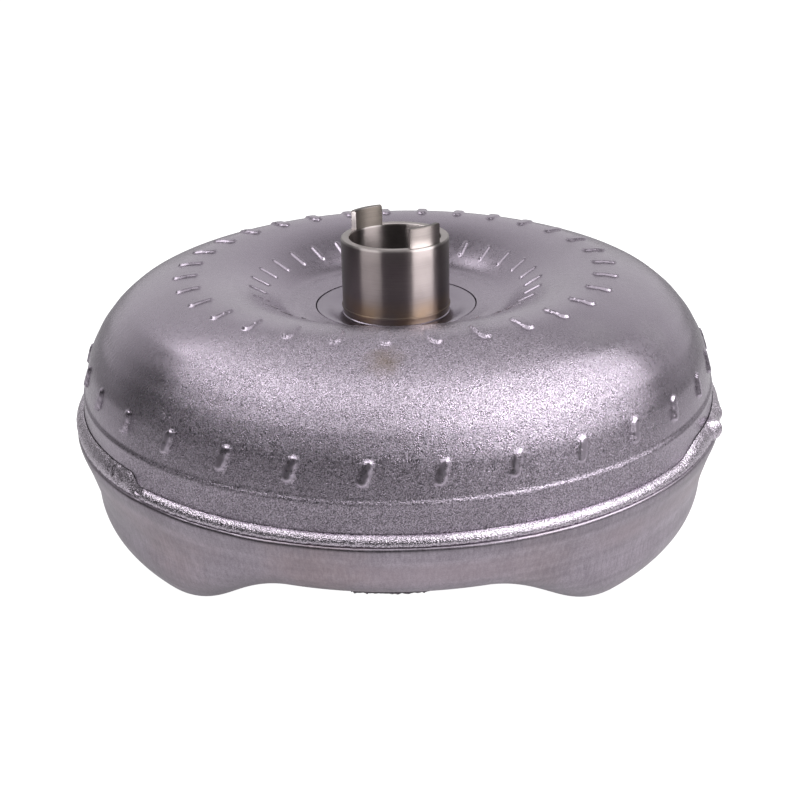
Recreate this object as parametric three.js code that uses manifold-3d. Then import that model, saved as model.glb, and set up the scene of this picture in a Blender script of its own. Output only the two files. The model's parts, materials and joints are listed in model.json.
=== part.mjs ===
// Torque converter: welded housing (pump shell + lobed front cover), turbine,
// one-way stator, lock-up clutch with torsion damper.
// Millimetres, +Z up along the shaft axis, towards the pump drive hub.
// Origin: on the axis, in the plane of the three drive feet (Z = 0).
import * as THREE from 'three';
import { mergeVertices } from 'three/addons/utils/BufferGeometryUtils.js';
import Module from 'manifold-3d';

const wasm = await Module();
wasm.setup();

// ---------------------------------------------------------------- dimensions
const SEG = 48;                  // facets round the big turned parts
const SEG_COVER = 48;            // the lobed cover is finer
const SEG_IN = 40;               // turned parts inside
const SEG_HUB = 24;
const SHELL_T = 3.0;             // pump shell wall
const COVER_T = 4.0;             // front cover wall
const GAP = 0.3;                 // clearance between touching faceted parts

// pump shell, outer surface (radius, height)
const SHELL_OUT = [
  [34.25, 93.5], [46.8, 95.4], [58.5, 102.6], [70.0, 108.2], [85.0, 110.1], [99.0, 107.2],
  [111.5, 101.6], [121.3, 93.1], [128.2, 82.2], [131.6, 71.5],
];
const SKIRT_R = 134.0, SKIRT_TOP = 62.5, SKIRT_END = 45.2;

// drive hub
const HUB_R = 22.7, HUB_BORE_R = 19.16, HUB_TOP = 122.93;
const HUB_COLLAR_R = 23.1, HUB_COLLAR_Z = 93.9, HUB_RELIEF_R = 22.3;
const HUB_FLANGE_R = 33.95, HUB_FLANGE_T = 4.2;
const TANG_TOP = 131.06, TANG_R = 21.5, TANG_ROOT = 120.0;
const TANG_FROM = 16.0, TANG_TO = 58.6;        // degrees, front tang; the other is opposite

// torus (flow passage)
const TORUS_R = 88, TORUS_Z = 66;
const BLADES_PUMP = 31, BLADES_TURBINE = 29, VANES_STATOR = 13;
const CORE_R = 14, CORE_T = 1.8;
const BLADE_T = 1.3;

// front cover: profile between the feet, and through a foot
const FOOT_PHASE = -2.3;         // degrees
const FOOT_HALF = 30, FOOT_SOFT = 13.7;
const COVER_FLAT_Z = 24.8;
const COVER_FLAT = [
  [137.2, 51.9], [137.9, 50.3], [136.9, 46.75], [135.7, 42.6],
  [134.55, 38.06], [132.6, 32.5], [129.2, 28.4], [124.6, 25.7], [119.3, 24.8],
  [104, 24.8], [92.0, 24.8], [82.0, 24.8],
];
const COVER_FOOT = [
  [137.2, 51.9], [137.9, 50.3], [136.9, 46.75], [135.7, 42.6],
  [133.6, 36.4], [131.0, 26.0], [127.5, 13.0], [118.0, 3.5], [105.0, 0.0],
  [88.0, 0.0], [83.6, 4.2], [80.5, 24.8],
];
const BOSS_PCR = 98.5, BOSS_R = 7.6, BOSS_SPIGOT_R = 6.0, BOSS_BORE_R = 4.25, BOSS_H = 11.0, BOSS_SPREAD = 11.5;

// crank pilot
const PILOT_R = 16.5, PILOT_FLANGE_R = 27, PILOT_END_Z = 2.5, COVER_HOLE_R = 12.3;

// turbine
const TURBINE_OUT = [
  [126.3, 64.2], [123.5, 55.6], [113.0, 46.9], [99.0, 42.2], [85.0, 41.2],
  [69.0, 44.4], [58.5, 50.3], [37.5, 50.3],
];
const TURBINE_T = 2.0;
const SPLINE_TURBINE_R = 12.2, SPLINE_TURBINE_TEETH = 20;

// stator and one-way clutch
const STATOR_BOT = 57, STATOR_TOP = 79, STATOR_HUB_R = 48, STATOR_BORE_R = 42.3;
const SHROUD_IN = 70.8, SHROUD_OUT = 73.2;
const OUTER_RACE_R = 41.6, ROLLER_R = 4.0, INNER_RACE_R = 25.0;
const SPLINE_STATOR_R = 17.2, SPLINE_STATOR_TEETH = 24;
const ROLLERS = 6;

// lock-up clutch and damper
const PISTON_Z0 = 32.0, PISTON_Z1 = 34.5, PISTON_R = 121.5;
const LINING_IN = 61, LINING_OUT = 79;
const SPRING_PCR = 112.5, SPRING_R = 3.7, SPRING_Z = 39.0, SPRINGS = 6, SPRING_ARC = 36;

// ---------------------------------------------------------------- materials
const mat = (color, roughness, metalness) => new THREE.MeshStandardMaterial({ color, roughness, metalness });
const M = {
  blasted: mat(0x8d8890, 0.55, 0.9), cover: mat(0x9b959b, 0.5, 0.9), weld: mat(0xa5a0a2, 0.45, 0.9),
  turned: mat(0x9a958f, 0.28, 1.0), machined: mat(0x8f8a85, 0.35, 1.0), stamped: mat(0x7d7f83, 0.45, 0.95),
  brazed: mat(0x8a7a66, 0.5, 0.9), cast: mat(0xb2b4b6, 0.5, 0.85), hard: mat(0x6e6f72, 0.25, 1.0),
  spring: mat(0x5c5e66, 0.35, 0.95), friction: mat(0x4c3f33, 0.95, 0.0), seal: mat(0x1d1d1f, 0.7, 0.0),
  brass: mat(0xb08d4a, 0.35, 0.95),
};

// ---------------------------------------------------------------- helpers
const RAD = Math.PI / 180;
const root = new THREE.Group();

function addMesh(name, geometry, material) {
  const m = new THREE.Mesh(geometry, material);
  m.name = name;
  root.add(m);
  return m;
}

// signed area of a closed (r, z) profile
function area(p) {
  let a = 0;
  for (let i = 0; i < p.length; i++) {
    const [x0, y0] = p[i], [x1, y1] = p[(i + 1) % p.length];
    a += x0 * y1 - x1 * y0;
  }
  return a / 2;
}

// closed ring turned about Z; profile is a closed loop of (r, z) without a repeated end
function ring(profile, segs = SEG) {
  let p = profile.slice();
  if (area(p) < 0) p.reverse();
  p = p.concat([p[0]]);
  const g = new THREE.LatheGeometry(p.map(([r, z]) => new THREE.Vector2(r, z)), segs);
  g.rotateX(Math.PI / 2);
  return clean(g);
}

function clean(g) {
  g.deleteAttribute('normal');
  g.deleteAttribute('uv');
  return mergeVertices(g, 1e-4);
}

function toSolid(g) {
  const gg = g.index ? g : mergeVertices(g, 1e-4);
  return new wasm.Manifold(new wasm.Mesh({
    numProp: 3,
    vertProperties: new Float32Array(gg.attributes.position.array),
    triVerts: new Uint32Array(gg.index.array),
  }));
}

function fromSolid(s) {
  const m = s.getMesh();
  const g = new THREE.BufferGeometry();
  const n = m.numProp, v = new Float32Array((m.vertProperties.length / n) * 3);
  for (let i = 0; i < v.length / 3; i++) for (let k = 0; k < 3; k++) v[3 * i + k] = m.vertProperties[n * i + k];
  g.setAttribute('position', new THREE.BufferAttribute(v, 3));
  g.setIndex(Array.from(m.triVerts));
  return g;
}

// flip a closed mesh whose volume comes out negative
function outward(g) {
  const p = g.attributes.position, ix = g.index;
  let v = 0;
  const a = new THREE.Vector3(), b = new THREE.Vector3(), c = new THREE.Vector3();
  for (let i = 0; i < ix.count; i += 3) {
    a.fromBufferAttribute(p, ix.getX(i)); b.fromBufferAttribute(p, ix.getX(i + 1)); c.fromBufferAttribute(p, ix.getX(i + 2));
    v += a.dot(b.cross(c));
  }
  if (v < 0) {
    const arr = Array.from(ix.array);
    for (let i = 0; i < arr.length; i += 3) { const t = arr[i + 1]; arr[i + 1] = arr[i + 2]; arr[i + 2] = t; }
    g.setIndex(arr);
  }
  return g;
}

// prism between two equal loops of points
function prism(lower, upper) {
  const n = lower.length, pos = [], idx = [];
  for (const q of lower.concat(upper)) pos.push(...q);
  for (let i = 0; i < n; i++) {
    const j = (i + 1) % n;
    idx.push(i, j, n + j, i, n + j, n + i);
  }
  for (let i = 1; i < n - 1; i++) { idx.push(0, i + 1, i); idx.push(n, n + i, n + i + 1); }
  const g = new THREE.BufferGeometry();
  g.setAttribute('position', new THREE.BufferAttribute(new Float32Array(pos), 3));
  g.setIndex(idx);
  return outward(g);
}

// bar swept through a list of equal four-sided (or more) loops
function loft(loops) {
  const n = loops[0].length, pos = [], idx = [];
  for (const l of loops) for (const q of l) pos.push(...q);
  for (let k = 0; k < loops.length - 1; k++) for (let i = 0; i < n; i++) {
    const j = (i + 1) % n, A = k * n, B = (k + 1) * n;
    idx.push(A + i, A + j, B + j, A + i, B + j, B + i);
  }
  const L = (loops.length - 1) * n;
  for (let i = 1; i < n - 1; i++) { idx.push(0, i + 1, i); idx.push(L, L + i, L + i + 1); }
  const g = new THREE.BufferGeometry();
  g.setAttribute('position', new THREE.BufferAttribute(new Float32Array(pos), 3));
  g.setIndex(idx);
  return outward(g);
}

// offset an open polyline by d to its left (mitred)
function offset(p, d) {
  const out = [];
  for (let i = 0; i < p.length; i++) {
    const a = p[Math.max(i - 1, 0)], b = p[i], c = p[Math.min(i + 1, p.length - 1)];
    const n1 = [-(b[1] - a[1]), b[0] - a[0]], n2 = [-(c[1] - b[1]), c[0] - b[0]];
    const l1 = Math.hypot(...n1), l2 = Math.hypot(...n2);
    const u = l1 > 0 ? [n1[0] / l1, n1[1] / l1] : [n2[0] / l2, n2[1] / l2];
    const w = l2 > 0 ? [n2[0] / l2, n2[1] / l2] : u;
    const m = [u[0] + w[0], u[1] + w[1]];
    const k = 2 * d / (m[0] * m[0] + m[1] * m[1]);
    out.push([b[0] + m[0] * k, b[1] + m[1] * k]);
  }
  return out;
}

// point at radius r, angle phi from the front (-Y) towards +X, height z
const P = (r, phi, z) => [r * Math.sin(phi), -r * Math.cos(phi), z];

// flat plate cut to a polar outline; holes are lists of polar loops
function plate(outline, holes, z0, z1) {
  const s = new THREE.Shape(outline.map(([r, a]) => { const q = P(r, a, 0); return new THREE.Vector2(q[0], q[1]); }));
  for (const h of holes) s.holes.push(new THREE.Path(h.map(([x, y]) => new THREE.Vector2(x, y))));
  const g = new THREE.ExtrudeGeometry(s, { depth: z1 - z0, bevelEnabled: false, steps: 1, curveSegments: 1 });
  g.translate(0, 0, z0);
  return outward(clean(g));
}
const circle = (r, n, x = 0, y = 0) => Array.from({ length: n }, (_, i) => [x + r * Math.cos(2 * Math.PI * i / n), y + r * Math.sin(2 * Math.PI * i / n)]);

// splined bore: outside radius ro, tooth tips at ri, roots at ri + depth
function splinedRing(ro, ri, depth, teeth, z0, z1) {
  const outer = Array.from({ length: SEG_HUB }, (_, i) => [ro, 2 * Math.PI * i / SEG_HUB]);
  const inner = [];
  for (let t = 0; t < teeth; t++) {
    const a = 2 * Math.PI * t / teeth, w = 2 * Math.PI / teeth;
    for (const [f, r] of [[0.0, ri + depth], [0.34, ri + depth], [0.5, ri], [0.84, ri]]) {
      const q = P(r, a + f * w, 0); inner.push([q[0], q[1]]);
    }
  }
  return plate(outer, [inner], z0, z1);
}

// ray from the torus centre to a profile polyline
function rayHit(profile, ang) {
  const dx = Math.cos(ang), dz = Math.sin(ang);
  let best = null;
  for (let i = 0; i < profile.length - 1; i++) {
    const [x1, z1] = profile[i], [x2, z2] = profile[i + 1];
    const ex = x2 - x1, ez = z2 - z1, det = dx * (-ez) + ex * dz;
    if (Math.abs(det) < 1e-9) continue;
    const bx = x1 - TORUS_R, bz = z1 - TORUS_Z;
    const t = (bx * (-ez) + ex * bz) / det, u = (dx * bz - dz * bx) / det;
    if (t > 0 && u >= -1e-6 && u <= 1 + 1e-6) best = best === null ? t : Math.min(best, t);
  }
  return best;
}

// ---------------------------------------------------------------- pump shell
const shellOuter = SHELL_OUT.concat([[SKIRT_R, SKIRT_TOP], [SKIRT_R, SKIRT_END]]);
// the profile runs outwards and down, so its inside is to the right
const shellInner = offset(shellOuter, -SHELL_T);
shellInner[0] = [34.25, 90.5];
shellInner.splice(9, 1);
addMesh('impeller_shell', ring(shellOuter.concat(shellInner.slice().reverse())), M.blasted);

// ---------------------------------------------------------------- drive hub
{
  const hub = ring([
    [HUB_BORE_R, 86.4], [HUB_FLANGE_R, 89.3], [HUB_FLANGE_R, 93.5], [HUB_RELIEF_R, 90.6],
    [HUB_RELIEF_R, 93.3], [HUB_COLLAR_R, 93.3], [HUB_COLLAR_R, HUB_COLLAR_Z + 0.2], [HUB_R, HUB_COLLAR_Z + 0.6],
    [HUB_R, HUB_TOP - 0.9], [HUB_R - 0.7, HUB_TOP], [HUB_BORE_R, HUB_TOP],
  ], SEG_HUB);
  let s = toSolid(hub);
  for (const turn of [0, 180]) {
    const loop = [], n = 4;
    for (let i = 0; i <= n; i++) loop.push(P(TANG_R, (turn + TANG_FROM + (TANG_TO - TANG_FROM) * i / n) * RAD, 0));
    for (let i = n; i >= 0; i--) loop.push(P(HUB_BORE_R + 0.2, (turn + TANG_FROM + (TANG_TO - TANG_FROM) * i / n) * RAD, 0));
    s = s.add(toSolid(prism2D(loop, TANG_ROOT, TANG_TOP)));
  }
  addMesh('pump_drive_hub', fromSolid(s), M.turned);
}

// ---------------------------------------------------------------- pump blades and core ring
const phaseAt = (deg) => {
  // blade position round the axis, in degrees, along the passage
  const k = [[0, -5.4], [15, -5.08], [55, -3.7], [90, -2.83], [130, -3.37], [160, -4.0]];
  for (let i = 0; i < k.length - 1; i++) if (deg <= k[i + 1][0]) {
    const f = (deg - k[i][0]) / (k[i + 1][0] - k[i][0]);
    return k[i][1] + f * (k[i + 1][1] - k[i][1]);
  }
  return k[k.length - 1][1];
};
function bladeWheel(count, angles, outerAt, phase) {
  // open half-torus core ring with one blade standing on every pitch, as a single skin:
  // columns run round the axis in pairs (the two sides of each blade), rows run along the passage
  const n = angles.length, pos = [], idx = [];
  const cols = [];
  for (let b = 0; b < count; b++) for (const side of [-1, 1]) {
    const core = [], inner = [], tip = [];
    for (const deg of angles) {
      const a = deg * RAD, ph = (phase(deg) + 360 * b / count) * RAD;
      const at = (rr) => {
        const r = TORUS_R + rr * Math.cos(a), z = TORUS_Z + rr * Math.sin(a);
        return P(r, ph + side * BLADE_T / 2 / r, z);
      };
      for (const [list, rr] of [[core, CORE_R], [inner, CORE_R - CORE_T], [tip, outerAt(a)]]) {
        list.push(pos.length / 3); pos.push(...at(rr));
      }
    }
    cols.push({ core, inner, tip });
  }
  const quad = (p, q, r, s) => idx.push(p, q, r, p, r, s);
  const N = cols.length;
  for (let c = 0; c < N; c++) {
    const A = cols[c], B = cols[(c + 1) % N], blade = c % 2 === 0;
    for (let k = 0; k < n - 1; k++) {
      quad(B.inner[k], A.inner[k], A.inner[k + 1], B.inner[k + 1]);
      if (blade) {
        quad(A.tip[k], B.tip[k], B.tip[k + 1], A.tip[k + 1]);
        quad(A.core[k], A.tip[k], A.tip[k + 1], A.core[k + 1]);
        quad(B.tip[k], B.core[k], B.core[k + 1], B.tip[k + 1]);
      } else quad(A.core[k], B.core[k], B.core[k + 1], A.core[k + 1]);
    }
    quad(A.inner[0], B.inner[0], B.core[0], A.core[0]);
    quad(B.inner[n - 1], A.inner[n - 1], A.core[n - 1], B.core[n - 1]);
    if (blade) {
      quad(A.core[0], B.core[0], B.tip[0], A.tip[0]);
      quad(B.core[n - 1], A.core[n - 1], A.tip[n - 1], B.tip[n - 1]);
    }
  }
  const g = new THREE.BufferGeometry();
  g.setAttribute('position', new THREE.BufferAttribute(new Float32Array(pos), 3));
  g.setIndex(idx);
  return outward(g);
}
addMesh('impeller_blades_and_core', bladeWheel(
  BLADES_PUMP, [7, 48, 90, 131], (a) => rayHit(shellInner, a) - 0.75, phaseAt,
), M.brazed);

// ---------------------------------------------------------------- front cover with three feet
{
  const tail = [[COVER_HOLE_R, COVER_FLAT_Z]];
  const make = (p) => {
    const full = p.concat(tail);
    const inn = offset(full, -COVER_T);
    // socket for the pump shell skirt, then the wall, then the hole for the pilot
    inn[0] = [SKIRT_R + 0.35, 51.9]; inn[1] = [SKIRT_R + 0.35, 48.0]; inn[2] = [SKIRT_R + 0.35, 44.2];
    inn[3] = [131.6, 43.0];
    inn[inn.length - 1] = [COVER_HOLE_R, COVER_FLAT_Z + COVER_T];
    return full.concat(inn.filter((_, i) => ![1, 4, 6].includes(i)).reverse());
  };
  const lathe = (p) => {
    const q = p.slice().reverse().concat([p[p.length - 1]]);
    const g = new THREE.LatheGeometry(q.map(([r, z]) => new THREE.Vector2(r, z)), SEG_COVER);
    g.rotateX(Math.PI / 2);
    return g;
  };
  const flat = lathe(make(COVER_FLAT)), foot = lathe(make(COVER_FOOT));
  const a = flat.attributes.position, b = foot.attributes.position;
  const smooth = (t) => { t = Math.min(1, Math.max(0, t)); return t * t * (3 - 2 * t); };
  for (let i = 0; i < a.count; i++) {
    const phi = Math.atan2(a.getX(i), -a.getY(i)) / RAD;
    let w = 0;
    for (const c of [-60, 60, 180]) {
      let d = Math.abs(((phi - FOOT_PHASE - c) % 360 + 540) % 360 - 180);
      w = Math.max(w, smooth((FOOT_HALF + FOOT_SOFT - d) / (2 * FOOT_SOFT)));
    }
    a.setXYZ(i, a.getX(i) + w * (b.getX(i) - a.getX(i)), a.getY(i) + w * (b.getY(i) - a.getY(i)), a.getZ(i) + w * (b.getZ(i) - a.getZ(i)));
  }
  let s = toSolid(outward(clean(flat)));
  // bolt boss holes through each foot
  const holes = [];
  for (let f = 0; f < 3; f++) for (const side of [-1, 1]) {
    const phi = (FOOT_PHASE - 60 + 120 * f + side * BOSS_SPREAD) * RAD;
    const [x, y] = P(BOSS_PCR, phi, 0);
    holes.push([x, y]);
    const c = circle(BOSS_SPIGOT_R + GAP, 12, x, y);
    s = s.subtract(toSolid(prism(c.map(([u, v]) => [u, v, -1]), c.map(([u, v]) => [u, v, 8]))));
  }
  addMesh('front_cover', fromSolid(s), M.cover);
  // threaded drive bosses: spigot in the foot, head inside, through thread
  holes.forEach(([x, y], i) => {
    const rs = BOSS_SPIGOT_R, g = ring([
      [BOSS_BORE_R, 0.15], [rs, 0.15], [rs, COVER_T + 1.6], [BOSS_R, COVER_T + 1.6], [BOSS_R, BOSS_H], [BOSS_BORE_R, BOSS_H],
    ], 12);
    const m = addMesh(`drive_boss_${i + 1}`, g, M.machined);
    m.position.set(x, y, 0);
  });
}

// crank pilot: spigot through the cover centre, flange and journal outside
addMesh('crank_pilot', ring([
  [0, PILOT_END_Z + 1.2], [9.0, PILOT_END_Z + 1.2], [9.6, PILOT_END_Z], [PILOT_R - 1.2, PILOT_END_Z], [PILOT_R, PILOT_END_Z + 1.2],
  [PILOT_R, 18.6], [PILOT_FLANGE_R, 18.6], [PILOT_FLANGE_R, COVER_FLAT_Z - GAP], [COVER_HOLE_R - GAP, COVER_FLAT_Z - GAP],
  [COVER_HOLE_R - GAP, COVER_FLAT_Z + COVER_T - 0.2], [0, COVER_FLAT_Z + COVER_T - 0.2],
], SEG_HUB), M.machined);

// closing weld: fillet on the cover rim against the pump shell skirt
addMesh('closing_weld', ring([
  [SKIRT_R + GAP, 52.2], [136.9, 52.2], [137.2, 53.4], [136.3, 55.0], [135.0, 55.9], [SKIRT_R + GAP, 56.2],
]), M.weld);

// balance weight welded low on the front of the cover
{
  const loop = [], n = 4, a0 = -8.6 * RAD, a1 = 4.7 * RAD;
  for (let i = 0; i <= n; i++) loop.push(P(122, a0 + (a1 - a0) * i / n, 0));
  for (let i = n; i >= 0; i--) loop.push(P(112, a0 + (a1 - a0) * i / n, 0));
  addMesh('balance_weight', prism2D(loop, 22.7, COVER_FLAT_Z - 0.35), M.machined);
}

// ---------------------------------------------------------------- turbine
const turbineInner = offset(TURBINE_OUT, -TURBINE_T);
turbineInner[0] = [TURBINE_OUT[0][0] - 2.0, 64.2];
turbineInner[turbineInner.length - 1] = [37.5, 52.3];
{
  // ring of rivet holes in the flat inner lip
  let s = toSolid(ring(TURBINE_OUT.concat(turbineInner.slice().reverse()), SEG_IN));
  for (let i = 0; i < 6; i++) {
    const [x, y] = P(42.5, i * 60 * RAD, 0), c = circle(2.4, 8, x, y);
    s = s.subtract(toSolid(prism(c.map(([u, v]) => [u, v, 48]), c.map(([u, v]) => [u, v, 54]))));
  }
  addMesh('turbine_shell', fromSolid(s), M.stamped);
}
addMesh('turbine_blades_and_core', bladeWheel(
  BLADES_TURBINE, [-7, -48, -90, -129], (a) => rayHit(turbineInner, a) - 0.75,
  (deg) => { const t = (-deg - 7) / 122; return 2 + 16 * t * t; },
), M.brazed);

// turbine hub: splined bore, flange riveted to the shell
{
  let s = toSolid(splinedRing(20.0, SPLINE_TURBINE_R, 1.1, SPLINE_TURBINE_TEETH, 34.4, 50.0));
  s = s.add(toSolid(ring([[19.0, 46.4], [47.0, 46.4], [47.0, 50.0], [19.0, 50.0]], SEG_HUB)));
  for (let i = 0; i < 6; i++) {
    const [x, y] = P(42.5, i * 60 * RAD, 0), c = circle(2.4, 8, x, y);
    s = s.subtract(toSolid(prism(c.map(([u, v]) => [u, v, 45]), c.map(([u, v]) => [u, v, 51]))));
  }
  // seal groove
  s = s.subtract(toSolid(ring([[17.9, 36.6], [21, 36.6], [21, 38.8], [17.9, 38.8]], SEG_HUB)));
  addMesh('turbine_hub', fromSolid(s), M.machined);
}
for (let i = 0; i < 6; i++) {
  const g = ring([[0, 45.0], [3.4, 45.0], [3.4, 46.1], [2.1, 46.1], [2.1, 52.55], [3.2, 52.55], [2.4, 53.3], [0, 53.3]], 8);
  const m = addMesh(`turbine_rivet_${i + 1}`, g, M.hard);
  const [x, y] = P(42.5, i * 60 * RAD, 0);
  m.position.set(x, y, 0);
}
addMesh('piston_seal_ring', ring([[18.1, 36.8], [20.25, 36.8], [20.25, 38.6], [18.1, 38.6]], SEG_HUB), M.seal);
addMesh('cover_thrust_washer', ring([[14.5, 29.2], [19.8, 29.2], [19.8, 34.0], [14.5, 34.0]], SEG_HUB), M.brass);

// driven plate of the damper, carried by the turbine shell
{
  const o = [];
  for (let k = 0; k < SPRINGS; k++) {
    const c = (k + 0.5) * 60;
    for (const [r, a] of [[104.6, c - 24], [104.6, c - 12], [104.6, c - 5.2], [116.6, c - 5.0], [116.6, c], [116.6, c + 5.0], [104.6, c + 5.2], [104.6, c + 12], [104.6, c + 24]]) o.push([r, a * RAD]);
  }
  addMesh('damper_driven_plate', plate(o, [circle(96.0, SEG_IN)], 37.9, 40.6), M.stamped);
}

// ---------------------------------------------------------------- stator
{
  let s = toSolid(ring([[STATOR_BORE_R, STATOR_BOT], [STATOR_HUB_R, STATOR_BOT], [STATOR_HUB_R, STATOR_TOP], [STATOR_BORE_R, STATOR_TOP]], 26));
  s = s.add(toSolid(ring([[SHROUD_IN, STATOR_BOT + 2], [SHROUD_OUT, STATOR_BOT + 2], [SHROUD_OUT, STATOR_TOP - 2], [SHROUD_IN, STATOR_TOP - 2]], 26)));
  // vane section: chord across Z, leaning round the axis; (height fraction, degrees, half thickness)
  const section = [[0.02, 9.0, 0.5], [0.5, 0.2, 2.4], [0.98, -3.6, 1.1]];
  for (let v = 0; v < VANES_STATOR; v++) {
    const base = 360 * v / VANES_STATOR;
    const at = (r) => {
      const k = 58 / r, pts = [];
      for (const [f, deg, t] of section) pts.push([f, deg * k, t]);
      const side = (sgn) => pts.map(([f, deg, t]) => P(r, (base + deg) * RAD + sgn * t / r, STATOR_BOT + 1 + f * (STATOR_TOP - STATOR_BOT - 2)));
      return side(-1).concat(side(1).reverse());
    };
    s = s.add(toSolid(loft([at(STATOR_HUB_R - 0.8), at(SHROUD_IN + 0.8)])));
  }
  addMesh('stator_wheel', fromSolid(s), M.cast);
}
// one-way clutch: cam race outside, plain splined race inside, rollers and springs between
const POCKET = 2 * Math.PI / ROLLERS;
{
  const outer = Array.from({ length: 36 }, (_, i) => [OUTER_RACE_R, 2 * Math.PI * i / 36]);
  const inner = [];
  for (let k = 0; k < ROLLERS; k++) {
    const a = k * POCKET;
    for (const [d, r] of [[-26, 26.2], [-16, 26.2], [-9.5, 26.4], [-9.0, 33.0], [0, 33.6], [8, 34.0], [18, 34.2], [21, 33.4], [21.5, 26.4], [24, 26.2]]) {
      const q = P(r, a + d * RAD, 0); inner.push([q[0], q[1]]);
    }
  }
  addMesh('clutch_outer_race', plate(outer, [inner], 57.2, 78.8), M.machined);
}
for (let k = 0; k < ROLLERS; k++) {
  const [x, y] = P(INNER_RACE_R + 0.25 + ROLLER_R, (k * 60 + 0.5) * RAD, 0);
  const m = addMesh(`clutch_roller_${k + 1}`, ring([[0, 58.2], [ROLLER_R, 58.2], [ROLLER_R, 77.8], [0, 77.8]], 12), M.hard);
  m.position.set(x, y, 0);
}
for (let k = 0; k < ROLLERS; k++) {
  // folded leaf spring behind each roller
  const c = k * 60 * RAD, z0 = 61, z1 = 75;
  const pts = [[26.9, 9.6], [33.2, 13.9], [26.9, 18.4], [26.9, 17.2], [31.8, 13.9], [26.9, 10.8]];
  const arr = pts.map(([r, d]) => P(r, c + d * RAD, 0));
  addMesh(`clutch_spring_${k + 1}`, prism2D(arr, z0, z1), M.spring);
}
function prism2D(loop, z0, z1) {
  const s = new THREE.Shape(loop.map(([x, y]) => new THREE.Vector2(x, y)));
  const g = new THREE.ExtrudeGeometry(s, { depth: z1 - z0, bevelEnabled: false, steps: 1 });
  g.translate(0, 0, z0);
  return outward(clean(g));
}
addMesh('clutch_inner_race', splinedRing(INNER_RACE_R, SPLINE_STATOR_R, 1.2, SPLINE_STATOR_TEETH, 57.0, 79.0), M.machined);
addMesh('stator_retainer_pump_side', ring([[26.0, 79.4], [47.0, 79.4], [47.0, 81.4], [26.0, 81.4]], SEG_HUB), M.machined);
addMesh('stator_retainer_turbine_side', ring([[26.0, 54.6], [47.0, 54.6], [47.0, 56.6], [26.0, 56.6]], SEG_HUB), M.machined);

// thrust bearings: a washer each side of a roller cage
function cage(name, ri, ro, z0, z1, n) {
  // cage ring with radial rollers standing slightly proud of both faces
  const mid = (z0 + z1) / 2, h = (z1 - z0) / 2;
  let s = toSolid(ring([[ri, mid - h * 0.5], [ro, mid - h * 0.5], [ro, mid + h * 0.5], [ri, mid + h * 0.5]], SEG_HUB));
  for (let i = 0; i < n; i++) {
    const a = 2 * Math.PI * i / n, lo = [], hi = [];
    const ex = [Math.cos(a), Math.sin(a)], ey = [-Math.sin(a), Math.cos(a)];
    for (let k = 0; k < 6; k++) {
      const t = Math.PI / 6 + k * Math.PI / 3, w = h / Math.cos(Math.PI / 6) * Math.cos(t), zz = mid + h * Math.sin(t);
      lo.push([ex[0] * (ri + 1.4) + ey[0] * w, ex[1] * (ri + 1.4) + ey[1] * w, zz]);
      hi.push([ex[0] * (ro - 1.4) + ey[0] * w, ex[1] * (ro - 1.4) + ey[1] * w, zz]);
    }
    s = s.add(toSolid(prism(lo, hi)));
  }
  addMesh(name, fromSolid(s), M.hard);
}
addMesh('pump_bearing_washer', ring([[28.0, 81.7], [38.0, 81.7], [38.0, 82.5], [28.0, 82.5]], SEG_HUB), M.hard);
cage('pump_thrust_bearing', 28.5, 37.5, 82.8, 86.0, 12);
addMesh('turbine_bearing_washer', ring([[24.0, 50.3], [34.0, 50.3], [34.0, 51.0], [24.0, 51.0]], SEG_HUB), M.hard);
cage('turbine_thrust_bearing', 24.5, 33.5, 51.3, 54.3, 12);

// ---------------------------------------------------------------- lock-up clutch
addMesh('lockup_piston', ring([
  [20.6, PISTON_Z0], [PISTON_R, PISTON_Z0], [PISTON_R, 42.0], [119.3, 42.0], [119.3, PISTON_Z1],
  [23.6, PISTON_Z1], [23.6, 41.5], [20.6, 41.5],
], SEG_IN), M.stamped);
addMesh('friction_lining', ring([
  [LINING_IN, 30.35], [LINING_OUT, 30.35], [LINING_OUT, PISTON_Z0 - GAP], [LINING_IN, PISTON_Z0 - GAP],
], SEG_IN), M.friction);
{
  const o = [];
  for (let k = 0; k < SPRINGS; k++) {
    const c = (k + 0.5) * 60;
    for (const [r, a] of [[106.4, c - 24], [106.4, c - 12], [106.4, c - 5.2], [118.6, c - 5.0], [118.6, c], [118.6, c + 5.0], [106.4, c + 5.2], [106.4, c + 12], [106.4, c + 24]]) o.push([r, a * RAD]);
  }
  addMesh('damper_drive_plate', plate(o, [circle(94.0, SEG_IN)], 34.9, 36.9), M.stamped);
}
for (let k = 0; k < SPRINGS; k++) {
  const loops = [], n = 6;
  for (let i = 0; i <= n; i++) {
    const a = (k * 60 - SPRING_ARC / 2 + SPRING_ARC * i / n) * RAD, l = [];
    for (let j = 0; j < 8; j++) {
      const t = 2 * Math.PI * (j + 0.5) / 8;
      l.push(P(SPRING_PCR + SPRING_R * Math.cos(t), a, SPRING_Z + SPRING_R * Math.sin(t)));
    }
    loops.push(l);
  }
  addMesh(`damper_spring_${k + 1}`, loft(loops), M.spring);
}

export default root;
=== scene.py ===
# Torque converter: fine surfaces, materials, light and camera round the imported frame.
import json, math
import bpy, bmesh
import numpy as np
from mathutils import Matrix, Vector, Euler


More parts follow.
